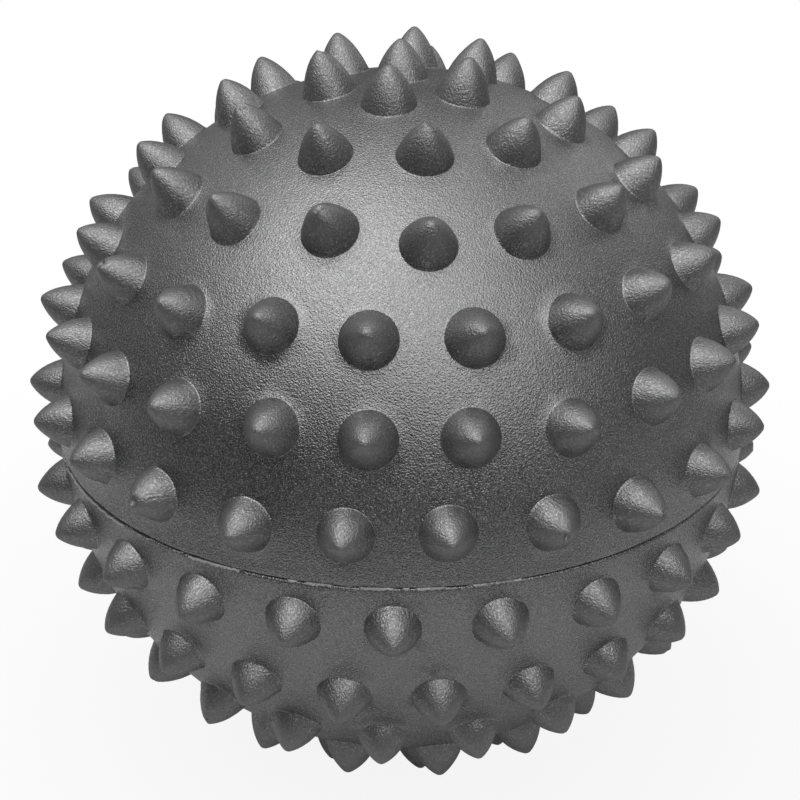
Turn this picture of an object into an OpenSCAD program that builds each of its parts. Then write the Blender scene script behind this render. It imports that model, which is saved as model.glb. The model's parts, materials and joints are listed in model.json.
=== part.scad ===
// Sensory ball: two soft moulded half shells covered in blunt spikes, joined along
// a level seam, with a needle plug pushed into a seat in the wall of the lower half.
// Millimetres, +Z up through the upper pole, origin at the centre of the ball.

/* [Shell] */
// Diameter of the shell without its spikes
shell_d = 91; // [70:0.5:120]
// Thickness of the moulded wall
wall = 3; // [2.4:0.1:5]

/* [Spikes] */
// Height of a spike above the shell
spike_h = 4.5; // [2:0.1:8]
// Diameter of a spike at its foot
spike_d = 6.3; // [4:0.1:8]
// Diameter of the small flat at a spike's blunt tip
tip_d = 0.9; // [0.4:0.1:2]
// Depth of a spike's root in the wall
spike_root = 1; // [0.5:0.1:1.5]
// Height of the first row above or below the seam, in degrees
first_row = 7.5; // [6:0.1:9]
// Step from one row to the next, in degrees
row_step = 14.1; // [13.4:0.1:14.6]

/* [Seam] */
// Radius of the weld bead that fills the groove between the halves
bead_r = 0.7; // [0.4:0.05:0.9]
// Depth of the bead's centre below the shell's surface
bead_sink = 0.4; // [0.2:0.05:0.6]
// Height of the tongue that keys the lower half into the upper half
tongue_h = 2.5; // [1.5:0.1:4]
// Glue gap round the bead, the tongue and the valve seat
bond_gap = 0.05; // [0.03:0.01:0.1]

/* [Valve] */
// Diameter of the flat land round the valve
land_d = 11.2; // [10.4:0.1:12]
// Depth of the land below the shell where its edge meets the surface
land_sink = 0.3; // [0.1:0.05:0.5]
// Diameter of the thickened boss inside the wall
boss_d = 14; // [12:0.1:18]
// Height of the boss above the inner wall
boss_h = 2; // [1:0.1:4]
// Diameter of the collar at the top of the seat
collar_d = 8.4; // [7.6:0.1:9]
// Thickness of the collar
collar_t = 1.4; // [1:0.1:1.8]
// Diameter of the seat's body in the wall
seat_d = 6.4; // [5.6:0.1:7]
// Length of the seat from the land inwards
seat_len = 8; // [6:0.1:12]
// Diameter of the bore that takes the plug's stem
valve_bore_d = 4; // [3.4:0.05:4.6]
// Running clearance between the stem and the bore, each side
stem_clear = 0.05; // [0.02:0.01:0.1]
// Length of the stem below the flange
stem_len = 9.5; // [8.2:0.1:14]
// Chamfer on the lower end of the stem
stem_chamfer = 0.5; // [0.2:0.05:0.7]
// Diameter of the plug's flange
flange_d = 9.2; // [8.6:0.1:10]
// Thickness of the plug's flange
flange_t = 1.1; // [0.8:0.1:2]
// Chamfer on the flange's top edge
flange_chamfer = 0.4; // [0.1:0.05:0.6]
// Diameter of the needle well in the plug
well_d = 2.2; // [1.8:0.05:2.4]
// Depth of the needle well below the flange's top
well_depth = 8; // [6:0.1:9]
// Depth of the countersink at the mouth of the well
well_mouth = 0.4; // [0.2:0.05:0.6]

/* [Hidden] */
$fn = 96;
// Spikes in each row, from the seam to the pole
upper_counts = [24, 23, 20, 16, 11, 6];
lower_counts = [24, 24, 21, 16, 11, 6];
// Turn of each row, as a share of the step between its own spikes
upper_turn_shares = [-0.55, -0.31, -0.30, 0.24, 0.22, -0.15];
lower_turn_shares = [-0.05, 0.39, -0.21, 0.41, 0.20, -0.15];
// The valve stands in for one spike of the lower half: its row and its place there
valve_row = 1;
valve_place = 14;
// Steps from foot to tip in a spike's outline, and how fast the outline draws in
spike_steps = 5;
spike_draw_share = 0.54;
// Share of the wall inside the bead that the tongue takes
tongue_share = 0.5;
// Share of the wall that the boss's top runs into
boss_bite_share = 0.4;

shell_r = shell_d / 2;
inner_r = shell_r - wall;
groove_r = bead_r + bond_gap;
bead_ring_r = shell_r - bead_sink;
tongue_r = inner_r + (bead_ring_r - groove_r - inner_r) * tongue_share;
land_z = sqrt(pow(shell_r, 2) - pow(land_d / 2, 2)) - land_sink;
collar_z = land_z - collar_t;
boss_z = inner_r - boss_h;
// Room past a surface that a cut runs to
cut_over = wall;
rows = len(upper_counts);

function row_latitude(i) = first_row + row_step * i;
function longitude(turn_share, place, count) = (turn_share + place) * 360 / count;

valve_lat = -row_latitude(valve_row);
valve_lon = longitude(lower_turn_shares[valve_row], valve_place, lower_counts[valve_row]);

// Turns the +Z axis to a latitude and a longitude, with longitude zero at -Y
module aim(lat, lon) {
    rotate([0, 0, lon]) rotate([90 - lat, 0, 0]) children();
}

// One spike on the +Z axis: a root in the wall and a blunt drawn-in point
module spike() {
    outline = [for (i = [0 : spike_steps])
        let (rise = 1 - pow(1 - i / spike_steps, 2))
        [(tip_d + (spike_d - tip_d) * pow(1 - rise, spike_draw_share)) / 2, shell_r + spike_h * rise]];
    root_z = shell_r - spike_root;
    tip_z = shell_r + spike_h;
    rotate_extrude() polygon(concat([[0, root_z], [spike_d / 2, root_z]], outline, [[0, tip_z]]));
}

// All the spikes of one half, side is 1 above the seam and -1 below it
module spikes(counts, turn_shares, side, bare_row = -1, bare_place = -1) {
    for (i = [0 : rows - 1])
        for (k = [0 : counts[i] - 1])
            if (i != bare_row || k != bare_place)
                aim(side * row_latitude(i), longitude(turn_shares[i], k, counts[i])) spike();
    aim(side * 90, 0) spike();
}

// Cross section of the wall on one side of the seam, open at the seam
module wall_section(side) {
    intersection() {
        difference() {
            circle(r = shell_r);
            circle(r = inner_r);
        }
        translate([0, side > 0 ? 0 : -shell_d]) square(shell_d);
    }
}

// Round groove along the seam that takes the bead
module seam_groove() {
    translate([bead_ring_r, 0]) circle(r = groove_r);
}

module upper_half() {
    color("#4a4b4d") union() {
        rotate_extrude() difference() {
            wall_section(1);
            seam_groove();
            square([tongue_r + bond_gap, tongue_h + bond_gap]);
        }
        spikes(upper_counts, upper_turn_shares, 1);
    }
}

// Lower wall with the tongue that stands up inside the upper half
module lower_wall() {
    rotate_extrude() {
        difference() {
            wall_section(-1);
            seam_groove();
        }
        intersection() {
            difference() {
                square([tongue_r, tongue_h]);
                circle(r = inner_r);
            }
            circle(r = shell_r);
        }
    }
}

module lower_half() {
    color("#4a4b4d") difference() {
        union() {
            lower_wall();
            spikes(lower_counts, lower_turn_shares, -1, valve_row, valve_place);
            aim(valve_lat, valve_lon) translate([0, 0, boss_z])
                cylinder(d = boss_d, h = boss_h + wall * boss_bite_share);
        }
        aim(valve_lat, valve_lon) {
            translate([0, 0, land_z]) cylinder(d = land_d, h = land_sink + cut_over);
            translate([0, 0, collar_z]) cylinder(d = collar_d + 2 * bond_gap, h = collar_t + cut_over);
            translate([0, 0, boss_z - cut_over])
                cylinder(d = seat_d + 2 * bond_gap, h = collar_z - boss_z + 2 * cut_over);
        }
    }
}

module seam_bead() {
    color("#3a3b3d") rotate_extrude() translate([bead_ring_r, 0]) circle(r = bead_r);
}

module valve_seat() {
    color("#2f3032") aim(valve_lat, valve_lon) difference() {
        union() {
            translate([0, 0, collar_z]) cylinder(d = collar_d, h = collar_t);
            translate([0, 0, land_z - seat_len]) cylinder(d = seat_d, h = seat_len);
        }
        translate([0, 0, land_z - seat_len - cut_over])
            cylinder(d = valve_bore_d, h = seat_len + 2 * cut_over);
    }
}

module valve_plug() {
    stem_r = valve_bore_d / 2 - stem_clear;
    top_z = land_z + flange_t;
    stem_z = land_z - stem_len;
    color("#555658") aim(valve_lat, valve_lon) difference() {
        rotate_extrude() polygon([
            [0, stem_z],
            [stem_r - stem_chamfer, stem_z],
            [stem_r, stem_z + stem_chamfer],
            [stem_r, land_z],
            [flange_d / 2, land_z],
            [flange_d / 2, top_z - flange_chamfer],
            [flange_d / 2 - flange_chamfer, top_z],
            [0, top_z]]);
        translate([0, 0, top_z - well_depth]) cylinder(d = well_d, h = well_depth + cut_over);
        translate([0, 0, top_z - well_mouth])
            cylinder(d1 = well_d, d2 = well_d + 2 * well_mouth, h = well_mouth);
    }
}

upper_half();
lower_half();
seam_bead();
valve_seat();
valve_plug();
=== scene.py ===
import json
import math
import random

import bmesh
import bpy
import numpy as np
from bpy.props import FloatProperty, FloatVectorProperty, IntProperty, PointerProperty
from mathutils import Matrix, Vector, geometry, noise


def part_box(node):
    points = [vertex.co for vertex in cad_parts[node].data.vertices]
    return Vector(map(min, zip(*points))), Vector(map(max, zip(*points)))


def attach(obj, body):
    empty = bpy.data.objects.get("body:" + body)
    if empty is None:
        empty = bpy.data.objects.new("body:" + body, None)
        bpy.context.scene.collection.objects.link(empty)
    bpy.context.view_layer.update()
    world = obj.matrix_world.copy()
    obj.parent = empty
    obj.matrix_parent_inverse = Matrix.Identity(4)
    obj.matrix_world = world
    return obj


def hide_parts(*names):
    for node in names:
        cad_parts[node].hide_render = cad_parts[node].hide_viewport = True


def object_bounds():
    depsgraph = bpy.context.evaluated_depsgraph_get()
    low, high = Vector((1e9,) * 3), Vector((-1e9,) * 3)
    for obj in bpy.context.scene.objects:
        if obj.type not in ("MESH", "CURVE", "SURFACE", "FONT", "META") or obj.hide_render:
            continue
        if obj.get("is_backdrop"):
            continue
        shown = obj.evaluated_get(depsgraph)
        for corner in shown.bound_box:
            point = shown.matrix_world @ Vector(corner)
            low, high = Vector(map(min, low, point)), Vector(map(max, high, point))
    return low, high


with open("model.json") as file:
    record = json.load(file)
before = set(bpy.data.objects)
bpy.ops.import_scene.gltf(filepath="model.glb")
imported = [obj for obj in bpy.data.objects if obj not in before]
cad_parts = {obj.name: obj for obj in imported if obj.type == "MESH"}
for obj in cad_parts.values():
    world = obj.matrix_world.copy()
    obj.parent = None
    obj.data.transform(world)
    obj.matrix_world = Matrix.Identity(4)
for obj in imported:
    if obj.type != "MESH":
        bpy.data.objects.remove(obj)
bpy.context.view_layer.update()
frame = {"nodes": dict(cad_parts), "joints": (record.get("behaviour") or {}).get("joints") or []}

bl_info = {
    "name": "Sensory ball",
    "version": (1, 0, 0),
    "blender": (4, 5, 0),
    "location": "View3D > Sidebar > Sensory ball",
    "description": "Dresses the packed sensory ball with moulded skins, seam, valve and studio",
    "category": "Object",
}

MM = 0.001
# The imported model's box, kept from before anything is dressed
PLUG_JOINT = next(j for j in frame["joints"] if j["name"] == "plug_pull")
VALVE_AXIS = Vector(PLUG_JOINT["axis"]).normalized()
SHELL_RADIUS = 45.5 * MM
# The tallest that a spike may be, from the CAD box with the little that a dressed part may exceed it
BOX_MARGIN = 1.02
TALLEST = BOX_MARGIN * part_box("upper_half")[1].z - SHELL_RADIUS

# Each half's rows of spikes from the seam to the pole: how many, the turn as a share of the
# row's own step, the latitude in degrees and the height in millimetres
ROWS = {
    "upper": {
        "side": 1,
        "counts": (24, 23, 20, 16, 11, 6),
        "turn_shares": (-0.55, -0.31, -0.30, 0.24, 0.22, -0.15),
        "latitudes": (7.8, 21.4, 34.9, 49.4, 63.6, 78.0),
        "heights": (3.9, 4.2, 4.2, 4.5, 4.6, 5.0),
        "pole_height": 4.5,
    },
    "lower": {
        "side": -1,
        "counts": (24, 24, 21, 16, 11, 6),
        "turn_shares": (-0.05, 0.39, -0.21, 0.41, 0.20, -0.15),
        "latitudes": (-7.0, -21.9, -35.6, -50.2, -64.0, -78.0),
        "heights": (3.85, 3.75, 3.75, 3.7, 4.1, 4.3),
        "pole_height": 4.5,
    },
}

# Spikes that stand out from their row: half, row and place, then degrees north and east, and the height
# as a share of the row's
ASIDE = {
    ("upper", 0, 0): (0.0, 0.5, 1.0),
    ("upper", 0, 1): (0.4, -0.3, 1.0),
    ("upper", 0, 3): (-0.8, -0.9, 1.2),
    ("upper", 0, 4): (-1.0, -0.3, 1.12),
    ("upper", 0, 21): (1.0, 1.0, 1.0),
    ("upper", 0, 23): (-0.4, 0.8, 1.0),
    ("upper", 1, 1): (0.0, -0.7, 1.0),
    ("upper", 1, 2): (-0.7, -0.5, 1.0),
    ("upper", 1, 20): (-0.3, -0.4, 1.0),
    ("upper", 1, 22): (0.4, 1.0, 1.0),
    ("upper", 2, 1): (0.0, -0.4, 1.0),
    ("upper", 2, 3): (0.4, -0.5, 1.0),
    ("upper", 2, 18): (-0.5, 0.6, 1.0),
    ("upper", 2, 19): (0.6, 0.8, 1.0),
    ("upper", 3, 0): (-0.7, 0.2, 1.0),
    ("upper", 3, 1): (-0.3, -1.2, 1.0),
    ("upper", 3, 15): (1.0, 1.3, 1.0),
    ("upper", 4, 0): (0.9, 0.5, 1.0),
    ("lower", 0, 0): (0.0, -0.5, 1.0),
    ("lower", 0, 2): (-0.4, 0.5, 1.0),
}
IN_ROW = (0.0, 0.0, 1.0)

# Small differences between spikes: the foot's spread as a share, and how far apart their lumps' noise is read
FOOT_SPREAD = 0.02
PHASE_SPAN = 40.0
# Share of the spikes with an air pit beside the tip, the pit's reach and depth, and its middle below the tip
# and aside of it
PITTED_SHARE = 0.16
PIT_REACH = 0.6 * MM
PIT_DEPTH = 0.55 * MM
PIT_BELOW = 0.15 * MM
PIT_ASIDE = 0.25 * MM
# How broad the pit's floor is, and the share of the spike's height that it is pressed towards
PIT_BROAD = 1.3
PIT_ROOT = 0.4
# Spikes whose pit shows from the front: half, row and place, and the latitude and longitude that it faces
PITTED = {("upper", 0, 22)}
PIT_FACES = (45.0, 0.0)


class BallShape(bpy.types.PropertyGroup):
    """Sizes of the ball's skins, in metres"""

    shell_radius: FloatProperty(
        name="Shell radius", description="Radius of the shell without spikes",
        default=SHELL_RADIUS, unit="LENGTH")
    wall: FloatProperty(
        name="Wall", description="Thickness of the moulded wall", default=3.0 * MM, unit="LENGTH")
    spike_foot: FloatProperty(
        name="Spike foot", description="Radius of a spike at its foot", default=3.3 * MM, unit="LENGTH")
    spike_fillet: FloatProperty(
        name="Foot fillet", description="Reach of the soft fillet round a spike's foot",
        default=0.1 * MM, unit="LENGTH")
    spike_draw: FloatProperty(
        name="Spike draw", description="How fast a spike's flank draws in towards its tip", default=0.80)
    spike_belly: FloatProperty(
        name="Spike belly", description="How far a spike's flank bellies out half way up", default=0.26)
    spike_slant: FloatProperty(
        name="Spike slant", description="Share by which the left side's spikes are taller", default=0.08)
    spike_spread: FloatProperty(
        name="Spike spread", description="Share by which moulded spikes differ in height", default=0.035)
    spike_lean: FloatProperty(
        name="Spike lean", description="Most that a tip leans aside, as a share of its height", default=0.05)
    skin_step: FloatProperty(
        name="Skin step", description="Spacing of the points on the shell's skin",
        default=1.5 * MM, unit="LENGTH")
    skin_swell: FloatProperty(
        name="Skin swell", description="Slow unevenness of the moulded shell",
        default=0.05 * MM, unit="LENGTH")
    tongue_height: FloatProperty(
        name="Tongue height", description="Height of the tongue inside the seam",
        default=2.5 * MM, unit="LENGTH")
    tongue_radius: FloatProperty(
        name="Tongue radius", description="Outer radius of the tongue inside the seam",
        default=43.42 * MM, unit="LENGTH")
    rim_round: FloatProperty(
        name="Rim round", description="Rounding of each half's rim at the seam",
        default=0.35 * MM, unit="LENGTH")
    rim_lift: FloatProperty(
        name="Rim lift", description="How far the upper rim stays clear of the seam where it gapes most",
        default=0.45 * MM, unit="LENGTH")
    overhang: FloatProperty(
        name="Overhang", description="How far the upper rim stands out over the lower one",
        default=0.16 * MM, unit="LENGTH")
    flash: FloatProperty(
        name="Flash", description="Height of the ragged flash along the seam",
        default=0.34 * MM, unit="LENGTH")
    land_radius: FloatProperty(
        name="Land radius", description="Radius of the flat land round the valve",
        default=5.6 * MM, unit="LENGTH")
    land_sink: FloatProperty(
        name="Land sink", description="Depth of the land below its edge", default=0.3 * MM, unit="LENGTH")
    collar_radius: FloatProperty(
        name="Collar radius", description="Radius of the pocket for the seat's collar",
        default=4.25 * MM, unit="LENGTH")
    collar_depth: FloatProperty(
        name="Collar depth", description="Depth of the pocket for the seat's collar",
        default=1.4 * MM, unit="LENGTH")
    seat_radius: FloatProperty(
        name="Seat hole", description="Radius of the hole for the valve seat",
        default=3.25 * MM, unit="LENGTH")
    boss_radius: FloatProperty(
        name="Boss radius", description="Radius of the boss inside the wall", default=7.0 * MM, unit="LENGTH")
    boss_height: FloatProperty(
        name="Boss height", description="Height of the boss above the inner wall",
        default=2.0 * MM, unit="LENGTH")
    seed: IntProperty(name="Seed", description="Seed of the small moulding differences", default=11)


class BallFinish(bpy.types.PropertyGroup):
    """Colours and grain of the ball's surfaces"""

    rubber: FloatVectorProperty(
        name="Rubber", description="Colour of the moulded rubber", subtype="COLOR", size=4,
        default=(0.0160, 0.0160, 0.0165, 1.0))
    # Paler colour painted on the upper flanks and tips of the spikes: a painted highlight
    rubber_tip_highlight: FloatVectorProperty(
        name="Highlighted rubber", description="Paler colour of highlighted places", subtype="COLOR", size=4,
        default=(0.030, 0.030, 0.031, 1.0))
    # Pale colour of the seam's lip: partly the whitened thin flash, partly a painted highlight along the
    # lip's edge
    flash_and_lip_highlight: FloatVectorProperty(
        name="Flash", description="Colour of the thin flash along the seam", subtype="COLOR", size=4,
        default=(0.30, 0.30, 0.303, 1.0))
    valve_colour: FloatVectorProperty(
        name="Valve", description="Colour of the valve's pieces", subtype="COLOR", size=4,
        default=(0.024, 0.024, 0.0248, 1.0))
    grain: FloatProperty(
        name="Grain", description="Size of the blasted grain", default=0.20 * MM, unit="LENGTH")
    grain_depth: FloatProperty(
        name="Grain depth", description="Depth of the blasted grain", default=0.095 * MM, unit="LENGTH")


class BallStage(bpy.types.PropertyGroup):
    """Studio, light and camera"""

    floor_colour: FloatVectorProperty(
        name="Floor", description="Colour of the floor", subtype="COLOR", size=4,
        default=(0.57, 0.57, 0.57, 1.0))
    cloth_colour: FloatVectorProperty(
        name="Cloth", description="Colour of the dark cloth that the ball mirrors", subtype="COLOR", size=4,
        default=(0.03, 0.03, 0.03, 1.0))
    sky: FloatProperty(
        name="Surround", description="Strength of the surround's own light on the ball", default=0.20)
    lamp_distance: FloatProperty(
        name="Lamp distance", description="From the ball's middle to each soft box",
        default=0.5, unit="LENGTH")
    lamp_size: FloatProperty(
        name="Lamp size", description="Side of each soft box", default=0.4, unit="LENGTH")
    lens: FloatProperty(name="Lens", description="Focal length on a 36 mm sensor, in mm", default=67.0)
    distance: FloatProperty(
        name="Distance", description="Camera distance in shell radii", default=4.483)
    elevation: FloatProperty(
        name="Elevation", description="Camera height above the seam, in degrees", default=25.97)
    shift_right: FloatProperty(
        name="Right", description="Pixels by which the ball stands right of the middle", default=1.75)
    shift_down: FloatProperty(
        name="Down", description="Pixels by which the ball stands below the middle", default=6.98)


# Places on the ball

def direction(latitude, longitude):
    """Unit vector for degrees of latitude and longitude, with longitude zero at -Y."""
    lat = math.radians(latitude)
    lon = math.radians(longitude)
    return Vector((math.cos(lat) * math.sin(lon), -math.cos(lat) * math.cos(lon), math.sin(lat)))


def beside(axis, angle):
    """Unit vector square to an axis, at an angle round it."""
    first = axis.orthogonal().normalized()
    return first * math.cos(angle) + axis.cross(first) * math.sin(angle)


def on_cap(axis, reach, angle, radius):
    """Point on a sphere at an arc length from an axis, at an angle round it."""
    turn = reach / radius
    return (axis * math.cos(turn) + beside(axis, angle) * math.sin(turn)) * radius


def turn_angles(count):
    """Angles of evenly spaced points round a circle."""
    return [2.0 * math.pi * i / count for i in range(count)]


def smooth_step(x):
    """A step from 0 to 1 that is soft at both ends."""
    x = min(max(x, 0.0), 1.0)
    return x * x * (3.0 - 2.0 * x)


class Spike:
    """One moulded spike: its axis and the small ways in which it differs from the next."""

    def __init__(self, latitude, longitude, height, draw):
        shape = bpy.context.scene.ball_shape
        self.axis = direction(latitude, longitude)
        slant = 1.0 - shape.spike_slant * self.axis.x
        spread = 1.0 + shape.spike_spread * draw.uniform(-1.0, 1.0)
        self.height = min(height * slant * spread, TALLEST)
        angle = draw.uniform(0.0, 2.0 * math.pi)
        self.lean = beside(self.axis, angle) * (shape.spike_lean * draw.random())
        self.foot = shape.spike_foot * (1.0 + FOOT_SPREAD * draw.uniform(-1.0, 1.0))
        self.phase = Vector((draw.random(), draw.random(), draw.random())) * PHASE_SPAN
        self.pit = None
        if draw.random() < PITTED_SHARE:
            angle = draw.uniform(0.0, 2.0 * math.pi)
            self.pit = self.tip_pit(beside(self.axis, angle))

    def tip_pit(self, side):
        """Middle of a small air pit beside the tip, on a given side."""
        radius = bpy.context.scene.ball_shape.shell_radius
        return self.axis * (radius + self.height - PIT_BELOW) + side * PIT_ASIDE

    def pressed(self, here):
        """A point of the spike's surface, pressed in where the pit is."""
        if self.pit is None:
            return here
        radius = bpy.context.scene.ball_shape.shell_radius
        near = PIT_BROAD - PIT_BROAD * (here - self.pit).length / PIT_REACH
        inward = (self.axis * (radius + PIT_ROOT * self.height) - here).normalized()
        return here + inward * PIT_DEPTH * smooth_step(near)


def spikes_of(half):
    """All the spikes of a half, without the one that the valve stands in for."""
    shape = bpy.context.scene.ball_shape
    rows = ROWS[half]
    draw = random.Random(shape.seed + rows["side"])
    faced = direction(*PIT_FACES)
    spikes = []
    for i, count in enumerate(rows["counts"]):
        for place in range(count):
            north, east, tall = ASIDE.get((half, i, place), IN_ROW)
            latitude = rows["latitudes"][i] + north
            longitude = (rows["turn_shares"][i] + place) * 360.0 / count + east
            spike = Spike(latitude, longitude, tall * rows["heights"][i] * MM, draw)
            if (half, i, place) in PITTED:
                spike.pit = spike.tip_pit((faced - spike.axis * faced.dot(spike.axis)).normalized())
            if spike.axis.angle(VALVE_AXIS) * shape.shell_radius > shape.land_radius:
                spikes.append(spike)
    spikes.append(Spike(rows["side"] * 90.0, 0.0, rows["pole_height"] * MM, draw))
    return spikes


# Meshes

SPIKE_SEGMENTS = 28
LAND_SEGMENTS = 64
RIM_SEGMENTS = 480
# Height of an even triangle as a share of its side
EVEN_TRIANGLE = 0.866
# Points that lie closer than this in the flat are joined as one
JOIN_EPSILON = 1e-9


def mesh_object(name, bm):
    """Turns a mesh in the making into an object of the scene."""
    mesh = bpy.data.meshes.new(name)
    bm.to_mesh(mesh)
    bm.free()
    obj = bpy.data.objects.new(name, mesh)
    bpy.context.scene.collection.objects.link(obj)
    return obj


class Skin:
    """A mesh in the making. Each point has a share of spike, or of pale lip, and a place for its grain."""

    def __init__(self):
        self.bm = bmesh.new()
        self.share = self.bm.verts.layers.float.new("spike_share")
        self.place = self.bm.verts.layers.float_vector.new("grain_place")

    def point(self, co, share=0.0, place=None):
        """A new point, whose grain is read at the point itself unless a place is given."""
        vert = self.bm.verts.new(co)
        vert[self.share] = share
        vert[self.place] = co if place is None else place
        return vert

    def ring(self, points):
        """New points without a share."""
        return [self.point(p) for p in points]

    def strip(self, a, b):
        """Quads between two closed rings of as many points, wound so that b lies left of a."""
        n = len(a)
        for i in range(n):
            j = (i + 1) % n
            self.bm.faces.new((a[i], a[j], b[j], b[i]))

    def cap(self, ring, tip):
        """Triangles from a closed ring to a tip."""
        n = len(ring)
        for i in range(n):
            self.bm.faces.new((ring[i], ring[(i + 1) % n], tip))

    def object(self, name, sharp_degrees):
        """The finished object, smooth but for edges sharper than an angle."""
        bmesh.ops.recalc_face_normals(self.bm, faces=self.bm.faces)
        obj = mesh_object(name, self.bm)
        obj.data.shade_smooth()
        obj.data.set_sharp_from_angle(angle=math.radians(sharp_degrees))
        return obj


def even_points(radius, step, keep):
    """Evenly spread unit vectors over a sphere, filtered by a test on the array."""
    count = int(4.0 * math.pi * radius * radius / (EVEN_TRIANGLE * step * step))
    i = np.arange(count) + 0.5
    z = 1.0 - 2.0 * i / count
    turn = math.pi * (1.0 + math.sqrt(5.0)) * i
    flat = np.sqrt(1.0 - z * z)
    points = np.stack([flat * np.cos(turn), flat * np.sin(turn), z], axis=1)
    return points[keep(points)]


def fill_between(skin, side, rings, loose):
    """Triangles over a part of a sphere, between closed rings of points and over loose points.

    The first ring is the outer edge, and the others are holes. The sphere is laid flat
    from its far pole, which keeps circles round, and the points are joined there.
    """
    verts = [v for ring in rings for v in ring] + loose
    owner = [k for k, ring in enumerate(rings) for _ in ring] + [-1] * len(loose)
    edges = []
    start = 0
    for ring in rings:
        n = len(ring)
        edges += [(start + i, start + (i + 1) % n) for i in range(n)]
        start += n
    flat = []
    for v in verts:
        u = v.co.normalized()
        flat.append(Vector((u.x, u.y)) / (1.0 + side * u.z))
    out = geometry.delaunay_2d_cdt(flat, edges, [], 0, JOIN_EPSILON)
    faces, origins = out[2], out[3]
    source = [ids[0] for ids in origins]
    for face in faces:
        ids = [source[i] for i in face]
        owners = {owner[i] for i in ids}
        in_hole = len(owners) == 1 and owners.pop() > 0
        if not in_hole:
            skin.bm.faces.new([verts[i] for i in ids])


def ring_points(radius, z):
    """Points of a level circle round the Z axis."""
    return [Vector((radius * math.cos(a), radius * math.sin(a), z)) for a in turn_angles(RIM_SEGMENTS)]


# Spikes

# The tip's radius as a share of the foot's, and where the flank starts, as shares of the height and of
# the spike
TIP_SHARE = 0.05
FLANK_FROM = 0.06
FLANK_SHARE = 0.6
# Steps through the fillet, and roots of the way down from the tip along the flank
FILLET_STEPS = (0.25, 0.5, 0.75)
FLANK_STEPS = (1.0, 0.86, 0.72, 0.58, 0.45, 0.33, 0.22, 0.12)
# Size of the lumps on a spike's flank, and how far they swell it as a share
LUMP_SIZE = 1.6 * MM
LUMP_SHARE = 0.035
# How much of a spike's height is left out of the grain's place, which draws the grain out along it
GRAIN_DRAW = 0.45


def spike_outline(foot, height):
    """Outline of a spike from its fillet to just short of its tip: (reach, rise, share)."""
    shape = bpy.context.scene.ball_shape
    tip = TIP_SHARE * foot

    def flank(u):
        drawn = (1.0 - u) ** shape.spike_draw * (1.0 + shape.spike_belly * u)
        return tip + (foot - tip) * drawn, height * u

    start = (foot + shape.spike_fillet, 0.0)
    bend = (foot, 0.0)
    end = flank(FLANK_FROM)
    outline = []
    for t in FILLET_STEPS:
        weights = ((1.0 - t) ** 2, 2.0 * t * (1.0 - t), t * t)
        reach, rise = [sum(w * p[k] for w, p in zip(weights, (start, bend, end))) for k in range(2)]
        outline.append((reach, rise, FLANK_SHARE * t))
    for s in FLANK_STEPS:
        u = 1.0 - (1.0 - FLANK_FROM) * s * s
        outline.append((*flank(u), FLANK_SHARE + (1.0 - FLANK_SHARE) * u))
    return outline


def add_spike(skin, spike, edge_ring, angles):
    """Rings of one spike from its edge on the shell up to its rounded tip."""
    radius = bpy.context.scene.ball_shape.shell_radius
    last = edge_ring
    for reach, rise, share in spike_outline(spike.foot, spike.height):
        ring = []
        for angle in angles:
            here = on_cap(spike.axis, reach, angle, radius)
            lump = noise.noise(here / LUMP_SIZE + spike.phase) * smooth_step(share)
            here = on_cap(spike.axis, reach * (1.0 + LUMP_SHARE * lump), angle, radius)
            here = here + here.normalized() * rise + spike.lean * rise
            here = spike.pressed(here)
            ring.append(skin.point(here, share, here - spike.axis * rise * GRAIN_DRAW))
        skin.strip(last, ring)
        last = ring
    top = spike.pressed(spike.axis * (radius + spike.height) + spike.lean * spike.height)
    skin.cap(last, skin.point(top, 1.0, top - spike.axis * spike.height * GRAIN_DRAW))


# Shell and seam

# How the seam gapes, as shares: at the least, all round, and what the left, the right and a wander add
GAPE_LEAST = 0.06
GAPE_ROUND = 0.12
GAPE_LEFT = 0.8
GAPE_RIGHT = 0.1
GAPE_WANDER = 0.12
# How steeply the gape grows to the left and to the right, and how far round the left one starts
LEFT_SLOPE = 1.3
LEFT_START = 0.25
RIGHT_SLOPE = 1.2
# Scale and slice of the noise that the gape wanders by
WANDER_SCALE = 3.0
WANDER_SLICE = 0.3
# Share of the overhang that is there even where the seam is shut
OVERHANG_ROUND = 0.3
# How far the gape lifts the skin above the rim, and how far it reaches in along the rim
LIFT_REACH = 2.2 * MM
LIFT_DEPTH = 1.0 * MM
SWELL_SIZE = 17.0 * MM
# Rims at the seam: steps in from the shell's radius, and heights, as shares of the rounding
RIMS = {
    1: ((0.05, 0.5), (0.3, 0.2), (0.8, 0.06), (2.0, 0.06)),
    -1: ((0.1, -0.6), (0.4, -0.3), (1.0, -0.1), (2.0, 0.0)),
}
TONGUE_GAP = 0.05 * MM
# Softness of the edges round the valve, and the land's edge as steps in and down in shares of it
EDGE_SOFT = 0.1 * MM
LAND_EDGE = ((0.4, 0.6), (1.0, 1.6))
LAND_FOOT = 1.6
# How far the skin's loose points stay from spikes and land, as shares of their step, and from the rim
SPIKE_CLEAR = 0.5
LAND_CLEAR = 0.6
RIM_CLEAR = 0.6 * MM
# Heights above the rim of two more rings of points, which have every second place of the rim's
RIM_RISES = (0.35 * MM, 0.8 * MM)
RISE_STRIDE = 2
# Spacing of the points on the inner wall, and how far they stay from boss and rim as shares of it
INNER_STEP = 5.0 * MM
BOSS_CLEAR = 0.5
INNER_RIM_CLEAR = 2.0
# Edges of a half that are sharper than this, in degrees, aren't smoothed
HALF_SHARP = 55.0


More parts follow.
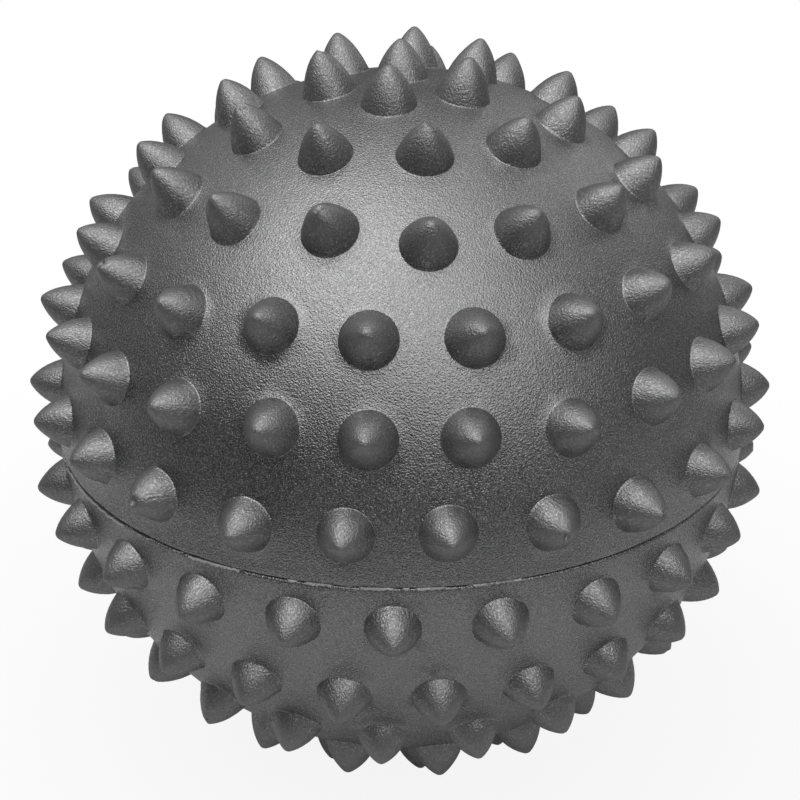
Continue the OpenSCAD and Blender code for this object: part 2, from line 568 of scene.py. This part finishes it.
def gaping(point):
    """How much the seam gapes at a place: most on the left, with a slow wander."""
    lon = math.atan2(point.x, -point.y)
    left = smooth_step(-LEFT_SLOPE * math.sin(lon) - LEFT_START)
    right = smooth_step(RIGHT_SLOPE * math.sin(lon))
    wander = noise.noise(Vector((math.cos(lon), math.sin(lon), WANDER_SLICE)) * WANDER_SCALE)
    gape = GAPE_ROUND + GAPE_LEFT * left + GAPE_RIGHT * right + GAPE_WANDER * wander
    return max(GAPE_LEAST, gape)


def overhang_at(point):
    """How far the upper rim stands out over the lower one at a place along the seam."""
    return bpy.context.scene.ball_shape.overhang * (OVERHANG_ROUND + gaping(point))


def lift_at(point):
    """Vector by which the upper rim is lifted clear of the seam at a place along it."""
    return Vector((0.0, 0.0, bpy.context.scene.ball_shape.rim_lift * gaping(point)))


def swelling(point):
    """Slow unevenness of the moulded shell."""
    return bpy.context.scene.ball_shape.skin_swell * noise.noise(point / SWELL_SIZE)


def shell_point(unit, side):
    """Point of the outer skin along a unit vector, with its swelling and the upper rim's shift."""
    shape = bpy.context.scene.ball_shape
    here = unit * shape.shell_radius
    out = swelling(here)
    if side > 0:
        near_rim = smooth_step(1.0 - here.z / LIFT_REACH)
        out += overhang_at(here) * near_rim
        unit = (here + lift_at(here) * near_rim).normalized()
    return unit * (shape.shell_radius + out)


def shell_ring(z, side, stride=1):
    """Points of the outer skin on a level circle."""
    reach = math.sqrt(bpy.context.scene.ball_shape.shell_radius ** 2 - z ** 2)
    return [shell_point(p.normalized(), side) for p in ring_points(reach, z)[::stride]]


def rim_profile(side):
    """Radius and height of the rings from the outer rim, through the seam, to the inner wall."""
    shape = bpy.context.scene.ball_shape
    inner = shape.shell_radius - shape.wall
    gap = TONGUE_GAP if side > 0 else 0.0
    tongue = shape.tongue_radius + gap
    top = shape.tongue_height + gap
    profile = [
        (shape.shell_radius - step * shape.rim_round, rise * shape.rim_round) for step, rise in RIMS[side]]
    lip = profile[-1][1]
    return profile + [(tongue, lip), (tongue, top), (math.sqrt(inner ** 2 - top ** 2), top)]


def valve_profile():
    """Reach and height of the rings from the land's edge, through the seat's hole, to the boss."""
    shape = bpy.context.scene.ball_shape
    edge = math.sqrt(shape.shell_radius ** 2 - shape.land_radius ** 2)
    land = edge - shape.land_sink
    boss = shape.shell_radius - shape.wall - shape.boss_height
    ledge = land - shape.collar_depth
    soft = EDGE_SOFT
    profile = [(shape.land_radius - step * soft, edge - drop * soft) for step, drop in LAND_EDGE]
    return profile + [
        (shape.land_radius - LAND_FOOT * soft, land), (shape.collar_radius + soft, land),
        (shape.collar_radius, land - soft), (shape.collar_radius, ledge), (shape.seat_radius, ledge),
        (shape.seat_radius, boss), (shape.boss_radius - soft, boss), (shape.boss_radius, boss + soft)]


def outer_skin(skin, side, spikes):
    """The outer shell with its spikes; returns the rim's ring and, below, the ring round the valve's land."""
    shape = bpy.context.scene.ball_shape
    radius = shape.shell_radius
    angles = turn_angles(SPIKE_SEGMENTS)
    rim_z = side * shape.rim_round
    rim = skin.ring(shell_ring(rim_z, side))
    rings = [rim]
    for spike in spikes:
        reach = spike.foot + shape.spike_fillet
        edge = [on_cap(spike.axis, reach, a, radius).normalized() for a in angles]
        rings.append(skin.ring([shell_point(u, side) for u in edge]))
    land = None
    if side < 0:
        reach = math.asin(shape.land_radius / radius) * radius
        land = skin.ring([on_cap(VALVE_AXIS, reach, a, radius) for a in turn_angles(LAND_SEGMENTS)])
        rings.append(land)

    axes = np.array([s.axis for s in spikes])
    clear = math.cos((shape.spike_foot + shape.spike_fillet + SPIKE_CLEAR * shape.skin_step) / radius)
    land_clear = math.cos((shape.land_radius + LAND_CLEAR * shape.skin_step) / radius)
    rim_clear = (shape.rim_round + RIM_CLEAR) / radius

    def on_skin(points):
        keep = (points @ axes.T).max(axis=1) < clear
        keep &= side * points[:, 2] > rim_clear
        if land:
            keep &= points @ np.array(VALVE_AXIS) < land_clear
        return keep

    spread = even_points(radius, shape.skin_step, on_skin)
    loose = skin.ring([shell_point(Vector(p), side) for p in spread])
    for rise in RIM_RISES:
        loose += skin.ring(shell_ring(rim_z + side * rise, side, RISE_STRIDE))
    fill_between(skin, side, rings, loose)
    for spike, ring in zip(spikes, rings[1:]):
        add_spike(skin, spike, ring, angles)
    return rim, land


def rim_through_seam(skin, side, rim):
    """Rings from the outer rim through the seam; returns the last, at the inner wall."""
    shape = bpy.context.scene.ball_shape
    last = rim
    for r, z in rim_profile(side):
        points = ring_points(r, z)
        if side > 0 and z < shape.rim_round:
            near = smooth_step((r - shape.shell_radius) / LIFT_DEPTH + 1.0)
            points = [p + (p.normalized() * overhang_at(p) + lift_at(p)) * near for p in points]
        ring = skin.ring(points)
        skin.strip(ring, last)
        last = ring
    return last


def valve_hole(skin, land):
    """Rings from the land through the seat's hole; returns the last, at the foot of the boss inside."""
    shape = bpy.context.scene.ball_shape
    inner = shape.shell_radius - shape.wall
    angles = turn_angles(LAND_SEGMENTS)
    around = [beside(VALVE_AXIS, a) for a in angles]
    ring = land
    for r, z in valve_profile():
        after = skin.ring([VALVE_AXIS * z + w * r for w in around])
        skin.strip(ring, after)
        ring = after
    reach = math.asin(shape.boss_radius / inner) * inner
    foot = skin.ring([on_cap(VALVE_AXIS, reach, a, inner) for a in angles])
    skin.strip(ring, foot)
    return foot


def build_half(half, name):
    """The whole skin of one half: outer shell, spikes, rim, inner wall and, below, the valve's hole."""
    shape = bpy.context.scene.ball_shape
    side = ROWS[half]["side"]
    inner = shape.shell_radius - shape.wall
    spikes = spikes_of(half)
    skin = Skin()
    rim, land = outer_skin(skin, side, spikes)
    rings = [rim_through_seam(skin, side, rim)]
    if land:
        rings.append(valve_hole(skin, land))
    boss_clear = math.cos((shape.boss_radius + BOSS_CLEAR * INNER_STEP) / inner)

    def on_inside(points):
        keep = side * points[:, 2] > INNER_RIM_CLEAR * INNER_STEP / inner
        if land:
            keep &= points @ np.array(VALVE_AXIS) < boss_clear
        return keep

    inside = skin.ring([Vector(p) * inner for p in even_points(inner, INNER_STEP, on_inside)])
    fill_between(skin, side, rings, inside)
    return skin.object(name, HALF_SHARP)


# Bead along the seam

# Runs of the pale lip along the seam: from and to in degrees east of the camera, and height as a share
LIP_RUNS = (
    (-172.0, -150.0, 0.7), (-143.0, -120.0, 0.9), (-112.0, -91.0, 0.6), (-84.0, -45.5, 0.9),
    (-44.5, -39.5, 0.45), (-36.0, -33.2, 0.5), (-32.5, -23.0, 0.85), (-16.5, -14.2, 0.8), (-13.8, -9.2, 1.0),
    (-6.2, -0.8, 0.8), (-0.2, 1.3, 1.15), (1.6, 6.4, 0.85), (8.8, 17.5, 0.55), (48.0, 49.5, 0.4),
    (101.0, 128.0, 0.8), (137.0, 171.0, 0.6))
LIP_RAMP = 0.7
# A scar where the lip was torn: its middle and half width in degrees, how steeply it starts, and how far it
# climbs the upper half
SCAR_AT = -7.7
SCAR_HALF = 1.5
SCAR_SLOPE = 1.5
SCAR_CLIMB = 0.6 * MM
FLASH_SEGMENTS = 1440
# Slice of the noise along the seam, and its scales for the ragged lip, the scar and the bead's middle
SEAM_SLICE = 2.0
RAGGED_SCALES = (50.0, 150.0)
SCAR_SCALE = 260.0
MIDDLE_SCALES = (14.0, 70.0)
# Strength of the raggedness, and the even and the ragged share of the scar
RAGGED = 0.9
SCAR_EVEN = 0.75
SCAR_RAGGED = 0.8
# The lip's even height and the scar's, as shares of the flash
LIP_EVEN = 0.8
SCAR_HIGH = 0.3
# The lip's thickness, how ragged it is, and how far the bead sinks where there is no lip
LIP_THICK = 0.38 * MM
THICK_RAGGED = 0.8
BEAD_SINK = 0.24 * MM
# How soon a growing lip stands at its full height and is fully pale; the pale lip and scar are partly
# whitened flash and partly a painted highlight
LIP_SLOPE = 1.6
PALE_LIP = 1.05
PALE_RAGGED = 0.5
PALE_SCAR = 0.5
# How far the bead's middle wanders up and down, its drop, and its further drop where the seam gapes
MIDDLE_WANDER = 0.08 * MM
MIDDLE_DROP = 0.02 * MM
GAPE_DROP = 0.2 * MM
# How steeply the bead falls back as the seam gapes, and where that starts
GAPE_SLOPE = 2.0
GAPE_START = 0.5
# Outline of the bead in the groove, below and above the lip: depth below the shell's surface, and height
BEAD_BELOW = ((1.05 * MM, -0.10 * MM), (0.50 * MM, -0.24 * MM))
BEAD_ABOVE = ((0.80 * MM, 0.0), (1.05 * MM, 0.02 * MM))
# The lip's foot: depth, and shares of the thickness and of the paleness
LIP_FOOT = (0.06 * MM, -0.6, 0.9)
# The lip: shares of its height, its thickness and the scar's climb
LIP_OUTLINE = ((0.7, -0.4, 0.0), (1.0, 0.0, 0.5), (0.9, 0.45, 1.0))
# The bead's top under the upper rim: depth and height, what gaping adds to both, and the shares of the scar's
# climb and of the paleness
TOP_SHUT = (0.08 * MM, 0.18 * MM)
TOP_GAPES = (0.4 * MM, -0.22 * MM)
TOP_CLIMB = 0.5
TOP_PALE = 0.7
# Edges of the bead that are sharper than this, in degrees, aren't smoothed
BEAD_SHARP = 60.0


def lip_at(degrees):
    """How much of the pale lip stands at a place along the seam, as a share."""
    most = 0.0
    for start, end, share in LIP_RUNS:
        most = max(most, share * smooth_step(min(degrees - start, end - degrees) / LIP_RAMP))
    return most


def scar_at(degrees):
    """How much of the scar there is at a place along the seam, as a share."""
    return smooth_step(SCAR_SLOPE * (1.0 - abs(degrees - SCAR_AT) / SCAR_HALF))


def bead_outline(lon):
    """Radius, height and paleness of the bead's outline at a place, from inside to outside and back."""
    shape = bpy.context.scene.ball_shape
    radius = shape.shell_radius
    degrees = math.degrees(lon)
    around = Vector((math.cos(lon), math.sin(lon), SEAM_SLICE))
    ragged = RAGGED * sum(noise.noise(around * s) for s in RAGGED_SCALES)
    lip = lip_at(degrees)
    scar = scar_at(degrees) * (SCAR_EVEN + SCAR_RAGGED * noise.noise(around * SCAR_SCALE))
    gape = smooth_step(GAPE_SLOPE * gaping(direction(0.0, degrees)) - GAPE_START)
    high = shape.flash * (max(0.0, lip * (LIP_EVEN + ragged)) + SCAR_HIGH * scar)
    thick = LIP_THICK * smooth_step(lip * (1.0 + THICK_RAGGED * ragged))
    sunk = BEAD_SINK * (1.0 - smooth_step(LIP_SLOPE * lip + scar))
    middle = MIDDLE_WANDER * sum(noise.noise(around * s) for s in MIDDLE_SCALES) - MIDDLE_DROP
    middle -= GAPE_DROP * gape
    climb = SCAR_CLIMB * scar
    # The paleness is partly whitened flash and partly a painted highlight along the lip and scar
    pale = PALE_LIP * smooth_step(LIP_SLOPE * lip * (1.0 + PALE_RAGGED * ragged)) + PALE_SCAR * scar
    foot_depth, foot_thick, foot_pale = LIP_FOOT
    top_depth, top_height = [shut + more * gape for shut, more in zip(TOP_SHUT, TOP_GAPES)]

    outline = [(radius - depth, z, 0.0) for depth, z in BEAD_BELOW]
    outline.append((radius - foot_depth - sunk, middle + foot_thick * thick, foot_pale * pale))
    for out, up, climbs in LIP_OUTLINE:
        outline.append((radius + out * high - sunk, middle + up * thick + climbs * climb, pale))
    outline.append((radius - top_depth, top_height + TOP_CLIMB * climb, TOP_PALE * pale * (1.0 - gape)))
    return outline + [(radius - depth, z, 0.0) for depth, z in BEAD_ABOVE]


def build_bead(name):
    """The ragged weld flash in the groove between the halves."""
    skin = Skin()
    turns = [a - math.pi for a in turn_angles(FLASH_SEGMENTS)]
    outlines = [bead_outline(lon) for lon in turns]
    rings = []
    for level in zip(*outlines):
        ring = []
        for lon, (r, z, pale) in zip(turns, level):
            ring.append(skin.point(Vector((r * math.sin(lon), -r * math.cos(lon), z)), pale))
        rings.append(ring)
    for ring, after in zip(rings, rings[1:] + rings[:1]):
        skin.strip(ring, after)
    return skin.object(name, BEAD_SHARP)


# Materials

# Places of the two colours and the result among the sockets of a colour mix
MIX_A = 6
MIX_B = 7
MIX_RESULT = 2
WHITE = (1.0, 1.0, 1.0, 1.0)
# The grain: octaves and roughness of its noise, how far aside its specks are read, and where they start
# and end
GRAIN_DETAIL = 1.0
GRAIN_ROUGH = 0.6
SPECK_SHIFT = (0.7, 0.3, 0.5)
SPECK_RANGE = (0.50, 0.68)
# The slow mottling: scale for a metre, octaves, where it starts and ends, and how much paler it gets
MOTTLE_SCALE = 90.0
MOTTLE_DETAIL = 3.0
MOTTLE_RANGE = (0.3, 0.7)
MOTTLE_PALER = 1.3
# How much darker the rubber is between specks and how much paler on them, then how much rougher and how
# much smoother
SPECK_DARKER = 0.4
SPECK_PALER = 3.0
SPECK_DULLER = 0.08
SPECK_SHINIER = 0.12
# Refraction of rubber filled with graphite, which gives it its broad pale sheen
GRAPHITE_IOR = 2.4
# How much rougher a spike is than the shell
SPIKE_DULLER = 0.22
# Shares of spike, or of pale lip, between which the colour goes over to the paler one: towards a spike's tip
# this is a painted highlight, on the seam's lip whitened flash with a painted highlight along it
TIP_RANGE = (0.75, 1.05)
# Finishes: roughness, the grain's size and depth as a share of the shell's, and strength of the specks
SHELL_LOOK = (0.23, 1.0, 1.0)
FLASH_LOOK = (0.35, 0.8, 0.3)
VALVE_LOOKS = {"valve_seat": (0.6, 0.7, 0.6), "valve_plug": (0.5, 0.7, 0.6)}


def feed(tree, socket, value):
    """Links a node's output to an input, or sets a plain value there."""
    if isinstance(value, bpy.types.NodeSocket):
        tree.links.new(value, socket)
    else:
        socket.default_value = value


def add_node(tree, kind, inputs, **settings):
    """A new node with its settings and its inputs, which are outputs of other nodes or plain values."""
    node = tree.nodes.new(kind)
    for key, value in settings.items():
        setattr(node, key, value)
    for key, value in inputs.items():
        feed(tree, node.inputs[key], value)
    return node


def mix_colour(tree, factor, a, b):
    """A mix of two colours by a factor; returns its output."""
    mix = add_node(tree, "ShaderNodeMix", {"Factor": factor, MIX_A: a, MIX_B: b}, data_type="RGBA")
    return mix.outputs[MIX_RESULT]


def mix_shader(tree, factor, a, b):
    """A mix of two shaders by a factor; returns its output."""
    return add_node(tree, "ShaderNodeMixShader", {"Fac": factor, 1: a, 2: b}).outputs["Shader"]


def map_range(tree, value, span, low=0.0, high=1.0, **settings):
    """Maps a span of a value to low..high; returns the output."""
    inputs = {"Value": value, "From Min": span[0], "From Max": span[1], "To Min": low, "To Max": high}
    return add_node(tree, "ShaderNodeMapRange", inputs, **settings).outputs["Result"]


def calculate(tree, operation, *values):
    """A calculation on values or outputs of nodes; returns its output."""
    return add_node(tree, "ShaderNodeMath", dict(enumerate(values)), operation=operation).outputs["Value"]


def attribute(tree, name):
    """Outputs of a mesh attribute."""
    return add_node(tree, "ShaderNodeAttribute", {}, attribute_name=name).outputs


def new_material(name):
    """A material with nodes; returns it with its tree and its shader."""
    mat = bpy.data.materials.new(name)
    mat.use_nodes = True
    return mat, mat.node_tree, mat.node_tree.nodes["Principled BSDF"]


def grain_group():
    """Blasted grain of a moulding tool: a fine height, a speck mask and slow mottling."""
    name = "moulded_grain"
    if name in bpy.data.node_groups:
        return bpy.data.node_groups[name]
    group = bpy.data.node_groups.new(name, "ShaderNodeTree")
    group.interface.new_socket("Vector", in_out="INPUT", socket_type="NodeSocketVector")
    group.interface.new_socket("Scale", in_out="INPUT", socket_type="NodeSocketFloat")
    for output in ("Height", "Specks", "Mottle"):
        group.interface.new_socket(output, in_out="OUTPUT", socket_type="NodeSocketFloat")
    inside = group.nodes.new("NodeGroupInput").outputs
    place, scale = inside["Vector"], inside["Scale"]
    shifted = add_node(group, "ShaderNodeVectorMath", {0: place, 1: SPECK_SHIFT}, operation="ADD")
    kind = "ShaderNodeTexNoise"
    fine = add_node(
        group, kind, {"Vector": place, "Scale": scale, "Detail": GRAIN_DETAIL, "Roughness": GRAIN_ROUGH})
    dots = add_node(group, kind, {"Vector": shifted.outputs["Vector"], "Scale": scale, "Detail": 0.0})
    slow = add_node(group, kind, {"Vector": place, "Scale": MOTTLE_SCALE, "Detail": MOTTLE_DETAIL})
    add_node(group, "NodeGroupOutput", {
        "Height": fine.outputs["Fac"],
        "Specks": map_range(group, dots.outputs["Fac"], SPECK_RANGE),
        "Mottle": map_range(group, slow.outputs["Fac"], MOTTLE_RANGE),
    })
    return group


def shade(colour, factor):
    """A colour times a factor, with an alpha of 1."""
    return [factor * c for c in colour[:3]] + [1.0]


def moulded_rubber(name, dark, pale, look, on_skin):
    """Satin moulded rubber with a blasted grain.

    On a skin, spikes are duller than the shell, their tips are painted paler as a highlight, and the seam's
    lip is paler as whitened flash with a painted highlight.
    """
    rough, grain_share, speckle = look
    finish = bpy.context.scene.ball_finish
    mat, tree, shader = new_material(name)
    if on_skin:
        place = attribute(tree, "grain_place")["Vector"]
    else:
        place = add_node(tree, "ShaderNodeTexCoord", {}).outputs["Object"]
    scale = 1.0 / (finish.grain * grain_share)
    grain = add_node(tree, "ShaderNodeGroup", {"Vector": place, "Scale": scale}, node_tree=grain_group())
    specks = grain.outputs["Specks"]
    low, high = 1.0 - SPECK_DARKER * speckle, 1.0 + SPECK_PALER * speckle
    thin, thick = [
        mix_colour(tree, specks, shade(dark, paler * low), shade(dark, paler * high))
        for paler in (1.0, MOTTLE_PALER)]
    colour = mix_colour(tree, grain.outputs["Mottle"], thin, thick)
    roughness = map_range(tree, specks, (0.0, 1.0), rough + SPECK_DULLER, rough - SPECK_SHINIER)
    if on_skin:
        share = attribute(tree, "spike_share")["Fac"]
        # The paler colour is a painted highlight towards a spike's tip, and on the seam's lip whitened flash
        # with a painted highlight
        colour = mix_colour(tree, map_range(tree, share, TIP_RANGE), colour, pale)
        roughness = calculate(tree, "MULTIPLY_ADD", share, SPIKE_DULLER, roughness)
    depth = finish.grain_depth * grain_share
    bump = add_node(
        tree, "ShaderNodeBump", {"Strength": 1.0, "Distance": depth, "Height": grain.outputs["Height"]})
    feed(tree, shader.inputs["Base Color"], colour)
    feed(tree, shader.inputs["Roughness"], roughness)
    feed(tree, shader.inputs["IOR"], GRAPHITE_IOR)
    feed(tree, shader.inputs["Normal"], bump.outputs["Normal"])
    return mat


def shell_material():
    """The rubber of both halves, made once."""
    finish = bpy.context.scene.ball_finish
    name = "moulded_shell"
    if name in bpy.data.materials:
        return bpy.data.materials[name]
    # The second colour is the painted highlight on the spike tips
    return moulded_rubber(name, list(finish.rubber), list(finish.rubber_tip_highlight), SHELL_LOOK, True)


def finish_piece(obj, body, slot, material, *nodes):
    """Gives a new piece its material and its body, and hides the CAD nodes that it stands for. The slot is
    not used.
    """
    obj.data.materials.append(material)
    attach(obj, body)
    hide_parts(*nodes)


# Operators

class BALL_OT_upper_half(bpy.types.Operator):
    """Builds the upper half with its spikes and rim"""

    bl_idname = "ball.upper_half"
    bl_label = "Upper half"

    def execute(self, context):
        half = build_half("upper", "upper_half_skin")
        finish_piece(half, "ball", "shell", shell_material(), "upper_half")
        return {"FINISHED"}


class BALL_OT_lower_half(bpy.types.Operator):
    """Builds the lower half with its spikes, rim, tongue and the land round the valve"""

    bl_idname = "ball.lower_half"
    bl_label = "Lower half"

    def execute(self, context):
        half = build_half("lower", "lower_half_skin")
        finish_piece(half, "ball", "shell", shell_material(), "lower_half")
        return {"FINISHED"}


class BALL_OT_seam_bead(bpy.types.Operator):
    """Builds the ragged weld flash along the seam"""

    bl_idname = "ball.seam_bead"
    bl_label = "Seam bead"

    def execute(self, context):
        finish = context.scene.ball_finish
        # The flash's pale colour is partly whitened flash and partly a painted highlight along the lip
        material = moulded_rubber(
            "weld_flash", list(finish.rubber), list(finish.flash_and_lip_highlight), FLASH_LOOK, True)
        finish_piece(build_bead("seam_flash"), "ball", "bead", material, "seam_bead")
        return {"FINISHED"}


class BALL_OT_valve(bpy.types.Operator):
    """Gives the valve's seat and plug their rubber finish"""

    bl_idname = "ball.valve"
    bl_label = "Valve"

    def execute(self, context):
        finish = context.scene.ball_finish
        dark = list(finish.valve_colour)
        for node, look in VALVE_LOOKS.items():
            obj = frame["nodes"][node]
            if not obj.material_slots:
                raise RuntimeError("the node " + node + " has no material slot")
            slot = obj.material_slots[0]
            slot.link = "OBJECT"
            slot.material = moulded_rubber(node + "_rubber", dark, dark, look, False)
        return {"FINISHED"}


# Studio

# The soft boxes round the ball: degrees east of the camera, degrees up, and watts
SOFT_BOXES = {
    "top_box": (0.0, 90.0, 0.75),
    "left_box": (-70.0, 60.0, 0.84),
    "front_left_box": (-35.0, 58.0, 0.6),
    "front_box": (0.0, 45.0, 0.42),
    "front_right_box": (30.0, 35.0, 0.74),
    "right_box": (70.0, 60.0, 0.21),
    "back_right_box": (140.0, 35.0, 0.36),
    "back_left_box": (-140.0, 35.0, 0.18),
}
# A dark cloth that the front of the ball mirrors: it lies on the floor round the camera and stands up behind
# it. Distance from the ball and height above the floor of its edges in metres, and its sides in
# degrees east of the camera
SCREEN_EDGES = ((0.19, 0.001), (0.36, 0.001), (0.36, 0.16))
SCREEN_FROM = -80.0
SCREEN_TO = 52.0
SCREEN_STEPS = 24
CLOTH_ROUGH = 0.95
# The round floor: radius in metres, segments and roughness
FLOOR_RADIUS = 6.0
FLOOR_SEGMENTS = 96
FLOOR_ROUGH = 0.9
# Distances from the ball between which the floor goes over to plain white, and its share of white at the ball
FADE_RANGE = (0.03, 0.16)
FADE_FROM = 0.89
# The camera's sensor in mm, its nearest distance in metres, and the picture's side in pixels
SENSOR = 36.0
CLIP_START = 0.01
IMAGE_SIDE = 800


def aim_at_middle(obj, outward, distance):
    """Places a lamp or camera out along a unit vector, turned to the middle of the ball."""
    obj.location = outward * distance
    obj.rotation_euler = (-outward).to_track_quat("-Z", "Y").to_euler()
    bpy.context.scene.collection.objects.link(obj)


def soft_box(name, east, up, power):
    """A square area lamp aimed at the middle of the ball."""
    stage = bpy.context.scene.ball_stage
    lamp = bpy.data.lights.new(name, "AREA")
    lamp.shape = "SQUARE"
    lamp.size = stage.lamp_size
    lamp.energy = power
    aim_at_middle(bpy.data.objects.new(name, lamp), direction(up, east), stage.lamp_distance)


def seen_by_camera(tree):
    """A value of 1 for rays that show the surround itself, straight or through a clear piece."""
    path = add_node(tree, "ShaderNodeLightPath", {}).outputs
    return calculate(tree, "MAXIMUM", path["Is Camera Ray"], path["Is Transmission Ray"])


class BALL_OT_stage(bpy.types.Operator):
    """Builds the floor, the dark cloth, the lamps, the surround and the camera"""

    bl_idname = "ball.stage"
    bl_label = "Stage"

    def execute(self, context):
        scene = context.scene
        stage = scene.ball_stage
        scene.view_settings.view_transform = "Standard"
        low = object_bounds()[0].z
        self.floor(stage, low)
        self.screen(stage, low)
        self.surround(scene, stage)
        for name, (east, up, power) in SOFT_BOXES.items():
            soft_box(name, east, up, power)
        self.camera(scene, stage)
        return {"FINISHED"}

    def floor(self, stage, low):
        """A paper floor that the camera sees as white, but for a soft shadow."""
        bm = bmesh.new()
        bmesh.ops.create_circle(bm, cap_ends=True, segments=FLOOR_SEGMENTS, radius=FLOOR_RADIUS)
        floor = mesh_object("floor", bm)
        floor.location.z = low
        floor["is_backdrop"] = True
        mat, tree, shader = new_material("floor_paper")
        feed(tree, shader.inputs["Base Color"], stage.floor_colour)
        feed(tree, shader.inputs["Roughness"], FLOOR_ROUGH)
        white = add_node(tree, "ShaderNodeEmission", {"Strength": 1.0}).outputs["Emission"]
        place = add_node(tree, "ShaderNodeTexCoord", {}).outputs["Object"]
        away = add_node(tree, "ShaderNodeVectorMath", {0: place}, operation="LENGTH").outputs["Value"]
        fade = map_range(tree, away, FADE_RANGE, FADE_FROM, 1.0, interpolation_type="SMOOTHSTEP")
        share = calculate(tree, "MULTIPLY", fade, seen_by_camera(tree))
        seen = mix_shader(tree, share, shader.outputs["BSDF"], white)
        feed(tree, tree.nodes["Material Output"].inputs["Surface"], seen)
        floor.data.materials.append(mat)

    def screen(self, stage, low):
        """The dark cloth, which only the ball mirrors."""
        bm = bmesh.new()
        columns = []
        for k in range(SCREEN_STEPS + 1):
            out = direction(0.0, SCREEN_FROM + (SCREEN_TO - SCREEN_FROM) * k / SCREEN_STEPS)
            columns.append([bm.verts.new((out.x * away, out.y * away, low + z)) for away, z in SCREEN_EDGES])
        for a, b in zip(columns, columns[1:]):
            for i in range(len(SCREEN_EDGES) - 1):
                bm.faces.new((a[i], b[i], b[i + 1], a[i + 1]))
        screen = mesh_object("dark_screen", bm)
        screen.visible_camera = False
        screen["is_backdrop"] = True
        mat, tree, shader = new_material("dark_cloth")
        feed(tree, shader.inputs["Base Color"], stage.cloth_colour)
        feed(tree, shader.inputs["Roughness"], CLOTH_ROUGH)
        screen.data.materials.append(mat)

    def surround(self, scene, stage):
        """A surround that the camera sees as white and that lights the ball a little."""
        world = bpy.data.worlds.new("studio")
        scene.world = world
        world.use_nodes = True
        tree = world.node_tree
        lights = tree.nodes["Background"]
        feed(tree, lights.inputs["Color"], WHITE)
        feed(tree, lights.inputs["Strength"], stage.sky)
        white = add_node(tree, "ShaderNodeBackground", {"Color": WHITE, "Strength": 1.0})
        seen = mix_shader(
            tree, seen_by_camera(tree), lights.outputs["Background"], white.outputs["Background"])
        feed(tree, tree.nodes["World Output"].inputs["Surface"], seen)

    def camera(self, scene, stage):
        """The camera of the photograph."""
        data = bpy.data.cameras.new("photo_camera")
        data.sensor_width = SENSOR
        data.lens = stage.lens
        data.shift_x = -stage.shift_right / IMAGE_SIDE
        data.shift_y = stage.shift_down / IMAGE_SIDE
        data.clip_start = CLIP_START
        cam = bpy.data.objects.new("photo_camera", data)
        aim_at_middle(cam, direction(stage.elevation, 0.0), stage.distance * scene.ball_shape.shell_radius)
        scene.camera = cam


class BALL_PT_panel(bpy.types.Panel):
    """Lists the ball's pieces"""

    bl_idname = "BALL_PT_panel"
    bl_label = "Sensory ball"
    bl_space_type = "VIEW_3D"
    bl_region_type = "UI"
    bl_category = "Sensory ball"

    def draw(self, context):
        for operator in OPERATORS:
            self.layout.operator(operator.bl_idname)


GROUPS = (BallShape, BallFinish, BallStage)
OPERATORS = (
    BALL_OT_upper_half, BALL_OT_lower_half, BALL_OT_seam_bead, BALL_OT_valve, BALL_OT_stage)


def register():
    for cls in GROUPS + OPERATORS + (BALL_PT_panel,):
        bpy.utils.register_class(cls)
    bpy.types.Scene.ball_shape = PointerProperty(type=BallShape)
    bpy.types.Scene.ball_finish = PointerProperty(type=BallFinish)
    bpy.types.Scene.ball_stage = PointerProperty(type=BallStage)


def unregister():
    del bpy.types.Scene.ball_stage
    del bpy.types.Scene.ball_finish
    del bpy.types.Scene.ball_shape
    for cls in reversed(GROUPS + OPERATORS + (BALL_PT_panel,)):
        bpy.utils.unregister_class(cls)


def main():
    register()
    bpy.ops.ball.upper_half()
    bpy.ops.ball.lower_half()
    bpy.ops.ball.seam_bead()
    bpy.ops.ball.valve()
    bpy.ops.ball.stage()


if __name__ == "__main__":
    main()
